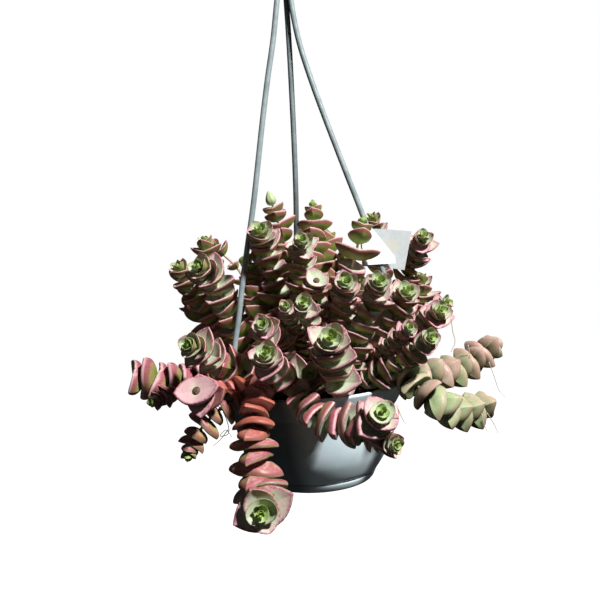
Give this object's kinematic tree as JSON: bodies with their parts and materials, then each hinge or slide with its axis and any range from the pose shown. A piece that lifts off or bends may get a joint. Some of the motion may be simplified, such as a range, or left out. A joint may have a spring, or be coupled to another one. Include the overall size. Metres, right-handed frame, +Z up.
{
  "type": "potted succulent in a hanging pot",
  "caption": "Crassula perforata with fleshy leaf pairs threaded on many stems, in a slate grey plastic hanging pot with a hook hanger.",
  "frame": {"origin": "the point inside the hook that bears on the bar it hangs from", "axes": "+Z up along the hanging line, -Y towards the side that the picture shows, +X to its right"},
  "size_m": [0.2713, 0.2272, 0.4078],
  "materials": {
    "pot": "slate grey moulded plastic, satin",
    "soil": "dark crumbly potting mix",
    "hanger": "light blue-grey moulded plastic",
    "tag": "white coated card",
    "leaf": "waxy pale green leaf with pink edges",
    "leaf_old": "waxy leaf flushed red",
    "leaf_pale": "waxy cream green leaf with a pink flush"
  },
  "bodies": {
    "root": {"pot": "pot", "soil": "soil", "plant_tag": "tag", "hanger_hook": "hanger", "hanger_arm_back": "hanger", "hanger_arm_left": "hanger", "hanger_arm_right": "hanger", "stem_crown_left": "leaf", "stem_crown_middle": "leaf", "stem_crown_right": "leaf", "stem_crown_back_right": "leaf", "stem_upper_right": "leaf", "stem_upper_left": "leaf", "stem_upper_middle": "leaf", "stem_left_big": "leaf", "stem_left_upright": "leaf", "stem_left_sparse": "leaf", "stem_left_side": "leaf", "stem_left_low": "leaf", "stem_left_cut": "leaf_old", "stem_left_long": "leaf", "stem_left_trailing": "leaf_old", "stem_front_trailing": "leaf_old", "stem_front_square": "leaf", "stem_front_low": "leaf", "stem_front_stub": "leaf", "stem_front_small": "leaf", "stem_front_short_left": "leaf", "stem_front_short_right": "leaf", "stem_front_middle": "leaf", "stem_front_big": "leaf", "stem_front_strand": "leaf_old", "stem_right_rosette": "leaf", "stem_right_star": "leaf", "stem_right_low": "leaf", "stem_right_small": "leaf", "stem_right_inner": "leaf", "stem_right_hidden": "leaf", "stem_right_strand_upper": "leaf_pale", "stem_right_strand_lower": "leaf_pale", "stem_left_inner": "leaf", "stem_right_broad": "leaf", "stem_right_pink": "leaf", "stem_middle_inner": "leaf", "stem_back_01": "leaf", "stem_back_02": "leaf", "stem_back_03": "leaf", "stem_back_04": "leaf", "stem_back_05": "leaf", "stem_back_06": "leaf", "stem_back_07": "leaf", "stem_back_08": "leaf", "stem_back_09": "leaf", "stem_back_10": "leaf", "stem_back_11": "leaf", "stem_back_12": "leaf", "stem_back_13": "leaf", "stem_back_14": "leaf"}
  },
  "joints": []
}
